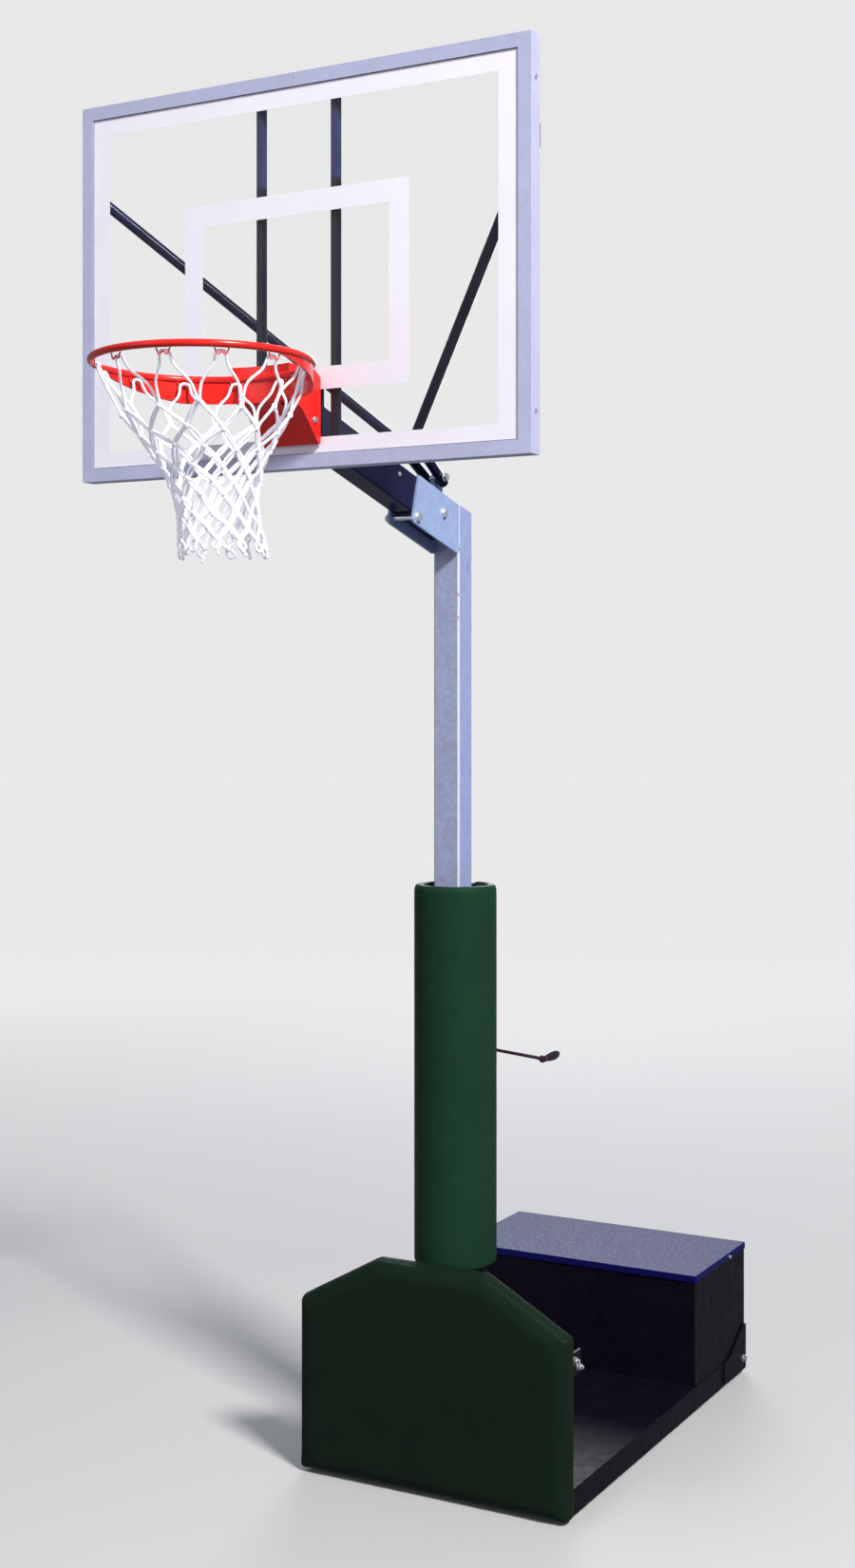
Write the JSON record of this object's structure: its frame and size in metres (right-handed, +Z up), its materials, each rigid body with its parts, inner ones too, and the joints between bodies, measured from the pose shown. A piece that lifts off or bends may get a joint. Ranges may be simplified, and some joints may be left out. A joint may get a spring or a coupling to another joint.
{
  "type": "portable basketball hoop",
  "caption": "Portable basketball hoop with framed clear backboard, red ring and net, crank-raised square mast, green padded pole and base, and a black wheeled ballast base",
  "frame": {"origin": "on the floor under the centre line of the telescoping mast, on the underside of the foot strip", "axes": "+Z up; the backboard's playing face looks to -Y and the ballast box lies to +Y; +X is to the right of somebody who stands on the playing side and faces the board"},
  "size_m": [1.2242, 2.617, 3.5204],
  "materials": {
    "galvanised": "hot-dipped zinc with faint spangle, satin",
    "board_frame": "satin extruded aluminium",
    "zinc_hardware": "bright zinc plate",
    "acrylic": "clear cast sheet, polished",
    "gasket_rubber": "matt black",
    "navy_paint": "gloss blue-black enamel",
    "rim_red": "gloss red powder coat",
    "net_cord": "braided white cord",
    "base_paint": "semi-gloss black enamel",
    "pad_vinyl": "dark green vinyl cover, soft sheen",
    "plywood": "bare plywood",
    "crank_paint": "gloss dark brown-purple enamel",
    "bronze": "oiled bearing bronze",
    "nylon": "off-white nylon",
    "iron_ballast": "rough cast, black primer",
    "wheel_red": "moulded red nylon wheel",
    "grip_plastic": "moulded dark grip",
    "machined_steel": "turned and greased steel"
  },
  "bodies": {
    "base": {"base_deck": "base_paint", "base_rails": "base_paint", "crossbars": "base_paint", "foot_strip": "gasket_rubber", "front_plate": "base_paint", "pad_board": "plywood", "base_pad": "pad_vinyl", "pad_bolts": "zinc_hardware", "pad_cleats": "base_paint", "post_foot": "base_paint", "post_foot_bolts": "zinc_hardware", "outer_post": "base_paint", "guide_collar": "nylon", "post_prop": "base_paint", "pole_pad": "pad_vinyl", "gearbox_housing": "base_paint", "bronze_bushes": "bronze", "cover_screws": "zinc_hardware", "screw_hanger": "machined_steel", "ballast_box": "base_paint", "ballast_lid": "base_paint", "ballast_slabs": "iron_ballast", "wheel_brackets": "base_paint", "axle_bolts": "zinc_hardware"},
    "mast": {"inner_mast": "galvanised", "mast_slide_pads": "nylon", "nut_carrier": "machined_steel", "lift_nut": "bronze", "hinge_plates": "galvanised", "mast_bolts": "zinc_hardware", "boom": "navy_paint", "boom_end_plate": "navy_paint", "brace_lug": "galvanised", "brace_left": "navy_paint", "brace_right": "navy_paint", "brace_bolts": "zinc_hardware", "board_uprights": "navy_paint", "frame_bottom": "board_frame", "frame_sides": "board_frame", "frame_top_left": "board_frame", "frame_top_right": "board_frame", "frame_screws": "zinc_hardware", "panel_gasket": "gasket_rubber", "panel_blocks": "gasket_rubber", "backboard_panel": "acrylic", "rim_ring": "rim_red", "rim_brace": "rim_red", "rim_bracket": "rim_red", "rim_bolts": "zinc_hardware", "net_clips": "rim_red", "net": "net_cord"},
    "screw": {"lead_screw": "machined_steel", "bevel_gear": "machined_steel"},
    "crank": {"crank_shaft": "machined_steel", "bevel_pinion": "machined_steel", "crank_arm": "crank_paint", "grip_spindle": "zinc_hardware"},
    "grip": {"crank_grip": "grip_plastic"},
    "left_wheel": {"wheel_left": "wheel_red"},
    "right_wheel": {"wheel_right": "wheel_red"}
  },
  "joints": [
    {"name": "lift", "type": "slide", "parent": "base", "child": "mast", "axis": [0, 0, 1], "range_m": [-0.53, 0.232]},
    {"name": "screw_turn", "type": "hinge", "parent": "base", "child": "screw", "pos_m": [0, 0.05555, 0.6], "axis": [0, 0, 1], "range_deg": [-6600, 15050]},
    {"name": "crank_turn", "type": "hinge", "parent": "base", "child": "crank", "pos_m": [0, 0.1, 1.127], "axis": [0, 1, 0], "range_deg": [-6600, 15050]},
    {"name": "grip_spin", "type": "hinge", "parent": "crank", "child": "grip", "pos_m": [0.18629, 0.21, 1.1107], "axis": [0, 1, 0], "continuous": true},
    {"name": "wheel_left_spin", "type": "hinge", "parent": "base", "child": "left_wheel", "pos_m": [-0.364, 1.172, 0.05], "axis": [1, 0, 0], "continuous": true},
    {"name": "wheel_right_spin", "type": "hinge", "parent": "base", "child": "right_wheel", "pos_m": [0.364, 1.172, 0.05], "axis": [1, 0, 0], "continuous": true}
  ],
  "couplings": [
    {"joint": "screw_turn", "follows": "lift", "rad_per_m": -494.74},
    {"joint": "crank_turn", "follows": "lift", "rad_per_m": -494.74}
  ]
}
